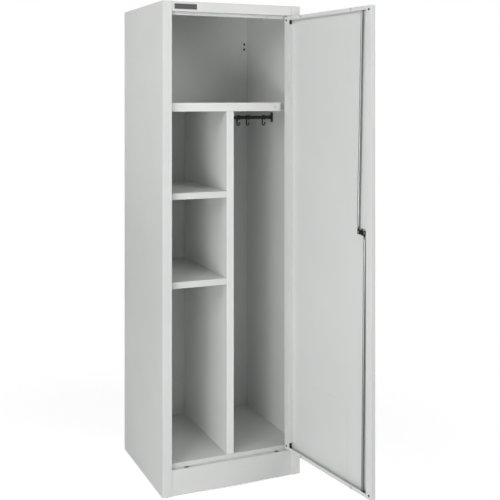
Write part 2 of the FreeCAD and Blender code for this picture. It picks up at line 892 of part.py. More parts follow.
def locking_cam():
    """Flat double lever on the handle's square end."""
    cam = bar_with_round_ends(crank_radius, cam_end_radius, cam_waist_width / 2, cam_front, cam_back)
    half_square = square_size / 2 + running_clearance
    cuts = [spindle_block(half_square, half_square, cam_front, cam_back), cam_screw_body(running_clearance)]
    hole_radius = crank_pin_radius + running_clearance
    for side in (-1, 1):
        x = spindle_x + side * crank_radius
        cuts.append(inward_cylinder(x, spindle_height, cam_front, cam_back, hole_radius))
    return cam.cut(cuts)


def cam_pins():
    """Headed pins riveted into the cam, one for each rod."""
    pins = []
    for side, plate_front in ((1, upper_plate_front), (-1, lower_plate_front)):
        x = spindle_x + side * crank_radius
        seat = plate_front + rod_plate_thickness + rod_plate_gap
        end = seat + crank_head_height
        shank = inward_cylinder(x, spindle_height, cam_front, seat, crank_pin_radius)
        head = inward_cylinder(x, spindle_height, seat, end, crank_head_radius)
        pins.append(shank.fuse(rounded_rim(head, crank_head_edge, INWARD, end)))
    return Part.makeCompound(pins)


def pin_in_rod(turn, slant, y):
    """Where the cam's pin lies in the upper rod's own frame once the handle has turned by this angle."""
    x = crank_radius * (math.cos(turn) - 1)
    z = crank_radius * math.sin(turn)
    travel = rod_travel * turn / math.radians(handle_turn)
    return V(x * math.cos(slant) + z * math.sin(slant), y, z * math.cos(slant) - x * math.sin(slant) - travel)


def rod_slot(slant, y):
    """Slot in the rod's end plate, curved so that the pin moves the rod evenly over the whole turn."""
    radius = crank_pin_radius + slot_clearance
    steps = 9
    places = [pin_in_rod(math.radians(handle_turn) * i / steps, slant, y) for i in range(steps + 1)]
    slot = [Part.makeCylinder(radius, rod_plate_thickness, place, INWARD) for place in places]
    for a, b in zip(places, places[1:]):
        side = (b - a).cross(INWARD).normalize() * radius
        strip = Part.Face(Part.makePolygon([a + side, b + side, b - side, a - side, a + side]))
        slot.append(strip.extrude(INWARD * rod_plate_thickness))
    return slot


def locking_rod(slant, rise, plate_front):
    """Round rod with a flattened, slotted end, drawn as the upper rod: upright from the cam's pin."""
    plate_back = plate_front + rod_plate_thickness
    plate = block(
        -crank_radius - rod_plate_margin,
        rod_plate_margin,
        plate_front,
        plate_back,
        -rod_plate_half_height,
        rod_plate_half_height,
    )
    plate = rounded_along(plate, rod_plate_corner, INWARD)
    neck = block(-rod_neck_width / 2, rod_neck_width / 2, plate_front, plate_back, 0, rod_neck_length)
    tip = rise / math.cos(slant) + rod_rest_reach
    bar = upright_cylinder(0, rod_y, rod_neck_length - rod_neck_width, tip, rod_radius)
    bar = bar.makeChamfer(rod_tip_chamfer, edges_in_plane(bar, UP, tip))
    rod = plate.multiFuse([neck, bar]).cut(rod_slot(slant, plate_front))
    rod.rotate(V(0, 0, 0), INWARD, -math.degrees(slant))
    rod.translate(V(spindle_x + crank_radius, 0, spindle_height))
    return rod


def upper_rod():
    return locking_rod(upper_rod_slant, upper_rod_rise, upper_plate_front)


def lower_rod():
    """The same rod turned upside down about the spindle."""
    rod = locking_rod(lower_rod_slant, lower_rod_rise, lower_plate_front)
    rod.rotate(V(spindle_x, 0, spindle_height), INWARD, 180)
    return rod


def rod_guide(flange_z, direction, slant):
    """Plastic guide in the door's flange around the rod; its neck stands a little out of the flange."""
    inside = flange_z + direction * sheet
    end = inside + direction * guide_height
    half_length = guide_length / 2
    half_depth = guide_depth / 2
    body = block(
        guide_x - half_length,
        guide_x + half_length,
        rod_y - half_depth,
        rod_y + half_depth,
        min(inside, end),
        max(inside, end),
    )
    body = rounded_along(body, guide_corner, UP)
    neck = upright_cylinder(guide_x, rod_y, inside, flange_z - direction * guide_collar, guide_neck_radius)
    rod_line = V(math.sin(slant), 0, -math.cos(slant))
    reach = rod_line * (2 * guide_height)
    start = V(guide_x, rod_y, flange_z) - reach
    bore = Part.makeCylinder(rod_radius + guide_clearance, 2 * reach.Length, start, rod_line)
    return body.fuse(neck).cut(bore)


def on_open_door(shape):
    opened = shape.copy()
    opened.rotate(V(pivot_x, pivot_y, 0), UP, door_open_angle)
    return opened


inside_bottom = door_bottom + sheet
inside_top = door_top - sheet
plinth_flange_underside = plinth_height - 2 * sheet

fixed_pieces = {
    "left_side": side_panel(),
    "right_side": right_side_panel(),
    "back_panel": back_panel(),
    "top_panel": top_panel(),
    "bottom_panel": bottom_panel(),
    "plinth_front": plinth_front(),
    "corner_plates": corner_plates(),
    "floor_glides": floor_glides(),
    "top_shelf": top_shelf(),
    "upper_left_shelf": shelf(divider_left, upper_shelf_level, small_shelf_height),
    "lower_left_shelf": shelf(divider_left, lower_shelf_level, small_shelf_height),
    "divider": divider(),
    "name_plate": name_plate(),
    "top_hinge_bush": hinge_bush(header_bottom, header_bottom + sheet, door_top + bush_end_play),
    "bottom_hinge_bush": hinge_bush(plinth_height, plinth_flange_underside, door_bottom - bush_end_play),
    "hook_rail": hook_rail(),
    "left_rail_bracket": rail_bracket(divider_left + sheet, 1),
    "right_rail_bracket": rail_bracket(wall_right, -1),
    "rail_rivets": rail_rivets(),
    "left_hook": hook(left_hook_x),
    "middle_hook": hook(middle_hook_x),
    "right_hook": hook(right_hook_x),
}

door_pieces = {
    "door_leaf": door_leaf(),
    "door_upper_stiffener": door_stiffener(inside_top - stiffener_end_gap - stiffener_height),
    "door_lower_stiffener": door_stiffener(inside_bottom + stiffener_end_gap),
    "lip_caps": lip_caps(),
    "door_buffers": door_buffers(),
    "top_hinge_block": hinge_block(inside_top, -1),
    "bottom_hinge_block": hinge_block(inside_bottom, 1),
    "top_hinge_pin": hinge_pin(inside_top, -1, header_bottom + sheet),
    "bottom_hinge_pin": hinge_pin(inside_bottom, 1, plinth_flange_underside),
    "lock_rosette": lock_rosette(),
    "lock_nut": lock_nut(),
    "turn_handle": turn_handle(),
    "key_plug": key_plug(),
    "locking_cam": locking_cam(),
    "cam_screw": cam_screw(),
    "cam_pins": cam_pins(),
    "upper_rod": upper_rod(),
    "lower_rod": lower_rod(),
    "upper_rod_guide": rod_guide(door_top, -1, upper_rod_slant),
    "lower_rod_guide": rod_guide(door_bottom, 1, lower_rod_slant),
}

os.makedirs("parts", exist_ok=True)
for name, piece in fixed_pieces.items():
    piece.exportStep("parts/" + name + ".step")
for name, piece in door_pieces.items():
    on_open_door(piece).exportStep("parts/" + name + ".step")
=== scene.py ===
import json
import math
import bmesh
import bpy
from mathutils import Matrix, Vector


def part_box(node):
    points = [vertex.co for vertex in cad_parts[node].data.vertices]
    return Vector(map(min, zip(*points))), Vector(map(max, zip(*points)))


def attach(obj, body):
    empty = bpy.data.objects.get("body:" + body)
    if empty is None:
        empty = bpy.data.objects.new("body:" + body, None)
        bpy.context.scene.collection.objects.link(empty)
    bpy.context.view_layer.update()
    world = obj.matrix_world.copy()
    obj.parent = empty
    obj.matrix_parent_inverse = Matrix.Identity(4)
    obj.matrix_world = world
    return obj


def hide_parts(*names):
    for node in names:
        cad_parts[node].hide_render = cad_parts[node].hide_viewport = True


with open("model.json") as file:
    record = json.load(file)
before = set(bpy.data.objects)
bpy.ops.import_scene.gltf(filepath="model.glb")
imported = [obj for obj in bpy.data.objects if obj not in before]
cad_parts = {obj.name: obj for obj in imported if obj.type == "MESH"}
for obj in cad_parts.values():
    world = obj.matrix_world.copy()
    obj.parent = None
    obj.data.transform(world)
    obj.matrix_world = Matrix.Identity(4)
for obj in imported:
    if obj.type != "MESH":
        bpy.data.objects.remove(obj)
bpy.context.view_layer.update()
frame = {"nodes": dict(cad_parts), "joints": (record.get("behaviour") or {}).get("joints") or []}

# The room: one camera at eye height, held level and slid sideways and down, so that the cupboard's
# upright edges stay upright, and a white floor that runs on out of sight. The camera sees the floor
# lifted towards white from the cupboard's edges on, and plain white where the shadow has ended.

camera = bpy.data.objects.new("camera", bpy.data.cameras.new("camera"))
bpy.context.scene.collection.objects.link(camera)
camera.location = (-1.415, -3.307, 1.566)
camera.rotation_euler = (math.radians(90), 0, math.radians(-21.28))
camera.data.sensor_width = 36
camera.data.lens = 59.86
camera.data.shift_x = 0.1364
camera.data.shift_y = -0.3029
bpy.context.scene.camera = camera
bpy.context.scene.view_settings.view_transform = "Standard"

floor_half = 12.0
floor_colour = (0.90, 0.90, 0.90, 1)
floor_lift = 0.52
lift_from = 0.20
lift_full = 0.30
shadow_reach = 0.7
shadow_end = 1.5

floor_mesh = bpy.data.meshes.new("floor")
corners = [(x * floor_half, y * floor_half, 0) for x, y in ((-1, -1), (1, -1), (1, 1), (-1, 1))]
floor_mesh.from_pydata(corners, [], [(0, 1, 2, 3)])
floor = bpy.data.objects.new("floor", floor_mesh)
bpy.context.scene.collection.objects.link(floor)

floor_paint = bpy.data.materials.new("floor_paint")
floor_paint.use_nodes = True
tree = floor_paint.node_tree
tree.nodes.clear()
matt = tree.nodes.new("ShaderNodeBsdfDiffuse")
matt.inputs["Color"].default_value = floor_colour
glow = tree.nodes.new("ShaderNodeEmission")
seen = tree.nodes.new("ShaderNodeLightPath")
lift = tree.nodes.new("ShaderNodeMath")
lift.operation = "MULTIPLY"
under = tree.nodes.new("ShaderNodeMapRange")
under.inputs["From Min"].default_value = lift_from
under.inputs["From Max"].default_value = lift_full
under.inputs["To Max"].default_value = floor_lift
both = tree.nodes.new("ShaderNodeAddShader")
place = tree.nodes.new("ShaderNodeTexCoord")
reach = tree.nodes.new("ShaderNodeVectorMath")
reach.operation = "LENGTH"
far = tree.nodes.new("ShaderNodeMapRange")
far.interpolation_type = "SMOOTHSTEP"
far.inputs["From Min"].default_value = shadow_reach
far.inputs["From Max"].default_value = shadow_end
white = tree.nodes.new("ShaderNodeEmission")
only_seen = tree.nodes.new("ShaderNodeMath")
only_seen.operation = "MULTIPLY"
fade = tree.nodes.new("ShaderNodeMixShader")
out = tree.nodes.new("ShaderNodeOutputMaterial")
tree.links.new(seen.outputs["Is Camera Ray"], lift.inputs[0])
tree.links.new(lift.outputs[0], glow.inputs["Strength"])
tree.links.new(matt.outputs[0], both.inputs[0])
tree.links.new(glow.outputs[0], both.inputs[1])
tree.links.new(place.outputs["Object"], reach.inputs[0])
tree.links.new(reach.outputs["Value"], far.inputs["Value"])
tree.links.new(reach.outputs["Value"], under.inputs["Value"])
tree.links.new(under.outputs["Result"], lift.inputs[1])
tree.links.new(far.outputs["Result"], only_seen.inputs[0])
tree.links.new(seen.outputs["Is Camera Ray"], only_seen.inputs[1])
tree.links.new(only_seen.outputs[0], fade.inputs["Fac"])
tree.links.new(both.outputs[0], fade.inputs[1])
tree.links.new(white.outputs[0], fade.inputs[2])
tree.links.new(fade.outputs[0], out.inputs["Surface"])
floor_mesh.materials.append(floor_paint)

# The light: a pale sky all round, and four large soft lamps: one high and one low on the left, one high
# on the right, and a weak one behind. What the camera and polished metal see of the sky is plain white.

sky_colour = (1, 1, 1, 1)
sky_strength = 0.30
lamps = [
    ("high_left_lamp", (-3.0, -2.0, 3.0), (0, -0.2, 1.0), 1.8, 43),
    ("low_left_lamp", (-2.54, -2.74, 0.41), (0, -0.2, 0.6), 1.2, 45),
    ("high_right_lamp", (1.53, -3.49, 2.69), (0, -0.2, 1.0), 1.8, 38),
    ("rear_lamp", (3.1, 2.9, 3.0), (0.1, 0, 1.0), 2.4, 30),
]

world = bpy.data.worlds.new("sky")
bpy.context.scene.world = world
world.use_nodes = True
tree = world.node_tree
sky = tree.nodes["Background"]
sky.inputs["Color"].default_value = sky_colour
seen = tree.nodes.new("ShaderNodeLightPath")
plain = seen.outputs["Is Camera Ray"]
for ray in ("Is Glossy Ray", "Is Transmission Ray"):
    either = tree.nodes.new("ShaderNodeMath")
    either.operation = "MAXIMUM"
    tree.links.new(plain, either.inputs[0])
    tree.links.new(seen.outputs[ray], either.inputs[1])
    plain = either.outputs[0]
strength = tree.nodes.new("ShaderNodeMapRange")
strength.inputs["To Min"].default_value = sky_strength
strength.inputs["To Max"].default_value = 1.0
tree.links.new(plain, strength.inputs["Value"])
tree.links.new(strength.outputs["Result"], sky.inputs["Strength"])

for name, position, target, width, power in lamps:
    lamp = bpy.data.objects.new(name, bpy.data.lights.new(name, "AREA"))
    lamp.data.shape = "SQUARE"
    lamp.data.size = width
    lamp.data.energy = power
    lamp.location = position
    lamp.rotation_euler = (Vector(target) - Vector(position)).to_track_quat("-Z", "Y").to_euler()
    bpy.context.scene.collection.objects.link(lamp)

# Carcass sheets: 1 mm steel, cut, folded and spot-welded, then powder-coated light grey in one piece.
# The coat has a fine orange-peel skin, thins a little on the edges, and sinks into the weld marks.

carcass_colour = (0.70, 0.72, 0.705, 1)
edge_colour = (0.60, 0.62, 0.61, 1)
peel_size = 0.0022
peel_depth = 0.00005
wave_size = 0.30
wave_depth = 0.0012
drift_size = 0.45
drift_shade = 0.965
gloss_size = 0.12
gloss_below = 0.04
gloss_above = 0.05
fleck_size = 0.0009
fleck_from = 0.62
fleck_full = 0.75
fleck_share = 0.10
noise_low = 0.3
noise_high = 0.7
wear_reach = 0.0012
wear_full = 0.80
wear_end = 0.99
wear_share = 0.55
weld_radius = 0.0042
weld_floor = 0.55
rear_weld_line = 0.289
rear_weld_pitch = 0.125
rear_weld_depth = 0.0004
rear_flange_from = 0.236
rear_flange_full = 0.238
plinth_weld_line = 0.2585
plinth_weld_pitch = 0.04
plinth_weld_depth = 0.0003


def new_finish(name, colour, roughness, metallic=0.0):
    """A material with its shader set, and the coordinates that stay with the piece."""
    finish = bpy.data.materials.new(name)
    finish.use_nodes = True
    tree = finish.node_tree
    shader = tree.nodes["Principled BSDF"]
    shader.inputs["Base Color"].default_value = colour
    shader.inputs["Roughness"].default_value = roughness
    shader.inputs["Metallic"].default_value = metallic
    finish.diffuse_color = colour
    place = tree.nodes.new("ShaderNodeTexCoord").outputs["Object"]
    return finish, tree, shader, place


def grain(tree, place, size, detail=2.0, stretch=(1, 1, 1)):
    """Noise whose patches are about this size in metres, drawn out along an axis by its stretch."""
    fit = tree.nodes.new("ShaderNodeMapping")
    fit.inputs["Scale"].default_value = tuple(1 / (size * s) for s in stretch)
    noise = tree.nodes.new("ShaderNodeTexNoise")
    noise.inputs["Scale"].default_value = 1.0
    noise.inputs["Detail"].default_value = detail
    tree.links.new(place, fit.inputs["Vector"])
    tree.links.new(fit.outputs[0], noise.inputs["Vector"])
    return noise.outputs["Fac"]


def sum_up(tree, operation, a, b):
    """One Math node; each input is a socket or a number."""
    node = tree.nodes.new("ShaderNodeMath")
    node.operation = operation
    for i, value in enumerate((a, b)):
        if isinstance(value, (int, float)):
            node.inputs[i].default_value = value
        else:
            tree.links.new(value, node.inputs[i])
    return node.outputs[0]


def spread(tree, value, low, high, to_low, to_high):
    """The value's run from low to high, eased into the run from to_low to to_high."""
    node = tree.nodes.new("ShaderNodeMapRange")
    node.interpolation_type = "SMOOTHSTEP"
    for label, number in zip(("From Min", "From Max", "To Min", "To Max"), (low, high, to_low, to_high)):
        node.inputs[label].default_value = number
    tree.links.new(value, node.inputs["Value"])
    return node.outputs["Result"]


def tint(tree, mask, colour, other):
    """Mixes two colours by a mask; a colour is a socket or four numbers."""
    node = tree.nodes.new("ShaderNodeMix")
    node.data_type = "RGBA"
    tree.links.new(mask, node.inputs["Factor"])
    for socket, value in ((node.inputs[6], colour), (node.inputs[7], other)):
        if isinstance(value, tuple):
            socket.default_value = value
        else:
            tree.links.new(value, socket)
    return node.outputs[2]


def relief(tree, shader, layers, edge_radius=0.0006):
    """Rounds the cut edges, then lays each (height, depth in metres) on the surface."""
    edge = tree.nodes.new("ShaderNodeBevel")
    edge.samples = 4
    edge.inputs["Radius"].default_value = edge_radius
    normal = edge.outputs["Normal"]
    for height, depth in layers:
        bump = tree.nodes.new("ShaderNodeBump")
        bump.inputs["Distance"].default_value = depth
        tree.links.new(height, bump.inputs["Height"])
        tree.links.new(normal, bump.inputs["Normal"])
        normal = bump.outputs["Normal"]
    tree.links.new(normal, shader.inputs["Normal"])


def worn_edges(tree):
    """A mask that is 1 on sharp edges and 0 on flat sheet."""
    edge = tree.nodes.new("ShaderNodeBevel")
    edge.samples = 4
    edge.inputs["Radius"].default_value = wear_reach
    flat = tree.nodes.new("ShaderNodeNewGeometry")
    match = tree.nodes.new("ShaderNodeVectorMath")
    match.operation = "DOT_PRODUCT"
    tree.links.new(edge.outputs["Normal"], match.inputs[0])
    tree.links.new(flat.outputs["Normal"], match.inputs[1])
    return spread(tree, match.outputs["Value"], wear_full, wear_end, 1.0, 0.0)


def powder_coat(name, colour, thin_colour, roughness):
    """Powder coat on sheet steel: orange peel, a slow drift of tone and gloss, and thinner edges."""
    finish, tree, shader, place = new_finish(name, colour, roughness)
    drift = grain(tree, place, drift_size, 3.0)
    darker = tuple(c * drift_shade for c in colour[:3]) + (1,)
    body = tint(tree, spread(tree, drift, noise_low, noise_high, 0, 1), colour, darker)
    fleck = spread(tree, grain(tree, place, fleck_size, 1.0), fleck_from, fleck_full, 0.0, fleck_share)
    body = tint(tree, fleck, body, thin_colour)
    edge = sum_up(tree, "MULTIPLY", worn_edges(tree), wear_share)
    tree.links.new(tint(tree, edge, body, thin_colour), shader.inputs["Base Color"])
    gloss = grain(tree, place, gloss_size, 4.0)
    gloss = spread(tree, gloss, noise_low, noise_high, roughness - gloss_below, roughness + gloss_above)
    tree.links.new(gloss, shader.inputs["Roughness"])
    peel = grain(tree, place, peel_size, 2.0)
    waves = grain(tree, place, wave_size, 1.0)
    return finish, tree, shader, place, [(waves, wave_depth), (peel, peel_depth)]


def axes(tree, place):
    """The coordinates as three sockets, X, Y and Z."""
    split = tree.nodes.new("ShaderNodeSeparateXYZ")
    tree.links.new(place, split.inputs[0])
    return split.outputs


def weld_marks(tree, where, line, pitch):
    """Round dimples up two lines, each this far aside of the middle."""
    up = sum_up(tree, "FLOORED_MODULO", where["Z"], pitch)
    up = sum_up(tree, "SUBTRACT", up, pitch / 2)
    aside = sum_up(tree, "SUBTRACT", sum_up(tree, "ABSOLUTE", where["X"], 0.0), line)
    square = sum_up(tree, "ADD", sum_up(tree, "POWER", up, 2.0), sum_up(tree, "POWER", aside, 2.0))
    distance = sum_up(tree, "SQRT", square, 0.0)
    return spread(tree, distance, weld_radius * weld_floor, weld_radius, 0.0, 1.0)


def dress(finish, *names):
    """Gives these pieces, which keep their own form, their finish."""
    for name in names:
        for slot in frame["nodes"][name].material_slots:
            slot.material = finish


sheet_coat, tree, shader, place, layers = powder_coat("sheet_coat", carcass_colour, edge_colour, 0.40)
relief(tree, shader, layers)
dress(sheet_coat, "top_panel", "bottom_panel", "back_panel", "corner_plates")

side_coat, tree, shader, place, layers = powder_coat("side_coat", carcass_colour, edge_colour, 0.40)
where = axes(tree, place)
dimple = weld_marks(tree, where, rear_weld_line, rear_weld_pitch)
not_at_back = spread(tree, where["Y"], rear_flange_from, rear_flange_full, 1.0, 0.0)
relief(tree, shader, layers + [(sum_up(tree, "MAXIMUM", dimple, not_at_back), rear_weld_depth)])
dress(side_coat, "left_side", "right_side")

plinth_coat, tree, shader, place, layers = powder_coat("plinth_coat", carcass_colour, edge_colour, 0.42)
dimple = weld_marks(tree, axes(tree, place), plinth_weld_line, plinth_weld_pitch)
relief(tree, shader, layers + [(dimple, plinth_weld_depth)])
dress(plinth_coat, "plinth_front")

# Seams between the frame's pieces: the header, the ledge and the kick plate are welded in between the
# stiles, ground flush and coated over, so a seam shows only as a hairline. Each seam runs from front to
# back and from its foot to its top, in millimetres like all forms from here on.

seams = [
    (-249.97, -249.2, 1912.6, 1948.9),
    (-247.4, -226.5, 1910.03, 1910.9),
    (-249.27, -248.5, 4.0, 102.5),
    (-249.6, -226.5, 104.1, 104.97),
]
millimetre = 0.001
same_place = 1e-6
no_length = 1e-7
sharp_angle = 32


def box_in_mm(node):
    """A node's lowest and highest corner, in millimetres."""
    return [Vector(corner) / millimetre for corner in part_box(node)]


def new_piece(name, form, finish, body, slot, *stands_for):
    """A mesh piece from its points in millimetres and its faces, dressed and riding on a body."""
    points, faces = form
    mesh = bpy.data.meshes.new(name)
    mesh.from_pydata([Vector(point) * millimetre for point in points], [], faces)
    mesh.materials.append(finish)
    shell = bmesh.new()
    shell.from_mesh(mesh)
    bmesh.ops.remove_doubles(shell, verts=shell.verts, dist=same_place)
    bmesh.ops.dissolve_degenerate(shell, edges=shell.edges, dist=no_length)
    bmesh.ops.recalc_face_normals(shell, faces=shell.faces)
    shell.to_mesh(mesh)
    shell.free()
    for face in mesh.polygons:
        face.use_smooth = True
    mesh.set_sharp_from_angle(angle=math.radians(sharp_angle))
    piece = bpy.data.objects.new(name, mesh)
    bpy.context.scene.collection.objects.link(piece)
    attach(piece, body)
    if stands_for:
        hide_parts(*stands_for)


def skin_over(rings, start_cap=True, end_cap=True):
    """Faces from each ring of points to the next, with the first and the last ring closed by a face."""
    count = len(rings[0])
    points = [point for ring in rings for point in ring]
    faces = []
    for row in range(len(rings) - 1):
        for i in range(count):
            a = row * count + i
            b = row * count + (i + 1) % count
            faces.append((a, b, b + count, a + count))
    if start_cap:
        faces.append(tuple(range(count)))
    if end_cap:
        faces.append(tuple(range(len(points) - count, len(points))))
    return points, faces


def together(forms):
    """Several forms as one."""
    points = []
    faces = []
    for more_points, more_faces in forms:
        start = len(points)
        points += more_points
        faces += [tuple(start + i for i in face) for face in more_faces]
    return points, faces


seam_inner = box_in_mm("plinth_front")[1].x
seam_outer = box_in_mm("right_side")[0].x
strips = []
for side in (-1, 1):
    for y0, y1, z0, z1 in seams:
        section = [(y0, z0), (y1, z0), (y1, z1), (y0, z1)]
        rings = [[(side * x, y, z) for y, z in section] for x in (seam_inner, seam_outer)]
        strips.append(skin_over(rings))
new_piece("frame_seams", together(strips), sheet_coat, "carcass", "carcass_paint")

# Shelves and divider: folded from the same sheet. The top shelf and the divider get a paler copy of the
# carcass coat, which is painted light for the brighter light on their fronts; the divider is spot-welded
# to the back panel and stands on the floor pan.

# Painted light: paler copies of the carcass colours, standing in for the brighter light on these fronts.
painted_light_shelf_colour = (0.80, 0.81, 0.795, 1)
painted_light_shelf_edge_colour = (0.70, 0.715, 0.70, 1)

painted_light_shelf_coat, tree, shader, place, layers = powder_coat("painted_light_shelf_coat", painted_light_shelf_colour, painted_light_shelf_edge_colour, 0.38)
relief(tree, shader, layers)
dress(painted_light_shelf_coat, "top_shelf", "divider")
dress(sheet_coat, "upper_left_shelf", "lower_left_shelf")

# Glides: four round feet turned from dark polyethylene and pressed into the corner plates. They stand
# on the floor, so a little pale dust clings to them.

glide_colour = (0.045, 0.045, 0.045, 1)
glide_roughness = 0.55
glide_grain_size = 0.0012
glide_grain_depth = 0.0001
dust_colour = (0.16, 0.155, 0.15, 1)
dust_size = 0.006
dust_share = 0.5

glide_finish, tree, shader, place = new_finish("glide_finish", glide_colour, glide_roughness)
dust = spread(tree, grain(tree, place, dust_size, 4.0), 0.5, 0.8, 0.0, dust_share)
tree.links.new(tint(tree, dust, glide_colour, dust_colour), shader.inputs["Base Color"])
relief(tree, shader, [(grain(tree, place, glide_grain_size), glide_grain_depth)])
dress(glide_finish, "floor_glides")

# Plugs of black nylon snapped into the four wall holes, each with a dished head and a short stem. They
# are painted
# shade: dark pieces that stand in for the shade seen through the open holes.

plug_x = 286.0
plug_levels = (1797.5, 1821.5)
back_sheet = box_in_mm("back_panel")[0].y
shade_plug_profile = [
    (0, -2), (3.9, -2), (3.9, 0), (5.5, 0), (5.5, 0.5),
    (5.1, 1.0), (4.4, 1.2), (2.8, 1.2), (2.3, 0.8), (0, 0.7),
]
nylon_colour = (0.02, 0.02, 0.022, 1)
nylon_roughness = 0.5
nylon_speck_colour = (0.032, 0.032, 0.034, 1)
nylon_speck_size = 0.004
nylon_sheen_size = 0.011
nylon_smoothest = 0.43
nylon_roughest = 0.58
nylon_grain_size = 0.0007
nylon_grain_depth = 0.00006

nylon, tree, shader, place = new_finish("nylon", nylon_colour, nylon_roughness)
speck = spread(tree, grain(tree, place, nylon_speck_size, 3.0), 0.35, 0.75, 0.0, 1.0)
tree.links.new(tint(tree, speck, nylon_colour, nylon_speck_colour), shader.inputs["Base Color"])
sheen = grain(tree, place, nylon_sheen_size)
sheen = spread(tree, sheen, noise_low, noise_high, nylon_smoothest, nylon_roughest)
tree.links.new(sheen, shader.inputs["Roughness"])
relief(tree, shader, [(grain(tree, place, nylon_grain_size), nylon_grain_depth)])


def turned(profile, centre, along, steps=40):
    """A form turned from (radius, distance) pairs around the axis that runs along from the centre."""
    centre = Vector(centre)
    along = Vector(along)
    aside = along.orthogonal().normalized()
    across = along.cross(aside)
    rings = []
    for radius, distance in profile:
        ring = []
        for i in range(steps):
            turn = 2 * math.pi * i / steps
            outward = aside * math.cos(turn) + across * math.sin(turn)
            ring.append(centre + along * distance + outward * radius)
        rings.append(ring)
    return skin_over(rings, False, False)


plugs = []
for side in (-1, 1):
    for z in plug_levels:
        plugs.append(turned(shade_plug_profile, (side * plug_x, back_sheet, z), (0, -1, 0)))
# Painted shade: these black plugs stand in for the shade seen through the open wall holes.
new_piece("wall_hole_shade_plugs", together(plugs), nylon, "carcass", "black_plastic")

# Name plate: pressed from brushed aluminium with a raised rim, anodised dark, left blank and held by
# two small rivets.

plate_low, plate_high = box_in_mm("name_plate")
plate_middle = (plate_low + plate_high) / 2
plate_half_width = (plate_high.x - plate_low.x) / 2
plate_half_height = (plate_high.z - plate_low.z) / 2
header_face = plate_high.y
plate_corner = 2.0
plate_rivet_place = 44.0
plate_rivet_profile = [(1.7, 0.45), (1.7, 0.6), (1.3, 0.74), (0.7, 0.79), (0, 0.8)]
plate_steps = [(0.0, 0.0), (0.0, 0.55), (0.25, 0.8), (1.1, 0.8), (1.5, 0.5)]
rim_crest = -0.25078
rim_foot = -0.25060
plate_colour = (0.042, 0.043, 0.043, 1)
plate_pale_colour = (0.078, 0.08, 0.08, 1)
plate_rim_colour = (0.34, 0.345, 0.345, 1)
plate_roughness = 0.45
plate_metal = 0.3
stroke_size = 0.0005
stroke_stretch = (60, 1, 1)
stroke_share = 0.5
stroke_depth = 0.00003
fine_edge = 0.0003
corner_steps = 5
least_corner = 0.3

plate_finish, tree, shader, place = new_finish("plate_finish", plate_colour, plate_roughness, plate_metal)
strokes = grain(tree, place, stroke_size, 3.0, stroke_stretch)
tone = spread(tree, strokes, noise_low, noise_high, 0.0, stroke_share)
field = tint(tree, tone, plate_colour, plate_pale_colour)
rim = spread(tree, axes(tree, place)["Y"], rim_crest, rim_foot, 1.0, 0.0)
tree.links.new(tint(tree, rim, field, plate_rim_colour), shader.inputs["Base Color"])
relief(tree, shader, [(strokes, stroke_depth)], fine_edge)


def rounded_outline(half_width, half_height, radius):
    """The points around a rectangle with round corners, with its middle at 0, 0."""
    outline = []
    for corner, (a, b) in enumerate(((1, 1), (-1, 1), (-1, -1), (1, -1))):
        for i in range(corner_steps + 1):
            turn = math.pi / 2 * (corner + i / corner_steps)
            u = a * (half_width - radius) + radius * math.cos(turn)
            v = b * (half_height - radius) + radius * math.sin(turn)
            outline.append((u, v))
    return outline


def stepped_plate(half_width, half_height, radius, steps, place_point):
    """A form from rounded outlines, each given by (inset, depth), put in place point by point."""
    rings = []
    for inset, depth in steps:
        corner_radius = max(radius - inset, least_corner)
        outline = rounded_outline(half_width - inset, half_height - inset, corner_radius)
        rings.append([place_point(u, v, depth) for u, v in outline])
    return skin_over(rings)


def on_header(u, v, depth):
    """A point on the plate: this far right of and above its middle, and out from the header."""
    return plate_middle.x + u, header_face - depth, plate_middle.z + v


plate_forms = [stepped_plate(plate_half_width, plate_half_height, plate_corner, plate_steps, on_header)]
for side in (-1, 1):
    centre = on_header(side * plate_rivet_place, 0, 0)
    plate_forms.append(turned(plate_rivet_profile, centre, (0, -1, 0), steps=20))
new_piece("blank_name_plate", together(plate_forms), plate_finish, "carcass", "plate_metal", "name_plate")

# Hook rail: a black-coated flat tube held in two brackets, each fixed to the sheet by two blind rivets.
# A blind rivet has a low dome with the hollow that its pulled nail leaves.

black_colour = (0.022, 0.022, 0.023, 1)
black_edge_colour = (0.05, 0.05, 0.052, 1)
black_edge_radius = 0.0004
rail_low, rail_high = box_in_mm("hook_rail")
rail_level = (rail_low.z + rail_high.z) / 2
rail_rivet_rise = 16.5
bracket_sheet = 2.0
rivet_seats = [
    (box_in_mm("left_rail_bracket")[0].x + bracket_sheet, 1),
    (box_in_mm("right_rail_bracket")[1].x - bracket_sheet, -1),
]
rivet_profile = [
    (0, -2.9), (2.0, -2.9), (2.0, 0), (4.0, 0), (4.0, 0.35), (3.75, 0.75),
    (3.1, 1.05), (2.1, 1.2), (1.4, 1.15), (1.1, 0.5), (0, 0.4),
]

black_coat, tree, shader, place, layers = powder_coat("black_coat", black_colour, black_edge_colour, 0.42)
relief(tree, shader, layers, black_edge_radius)
dress(black_coat, "hook_rail", "left_rail_bracket", "right_rail_bracket", "locking_cam")

rivets = []
for seat, outward in rivet_seats:
    for side in (-1, 1):
        level = rail_level + side * rail_rivet_rise
        rivets.append(turned(rivet_profile, (seat, 0, level), (outward, 0, 0), steps=28))
new_piece("bracket_rivets", together(rivets), black_coat, "carcass", "black_paint", "rail_rivets")

# Hooks: one moulding of black nylon each, a closed slider on the rail and a J below it that ends in a
# small ball, so that a loop can't slip off by itself.

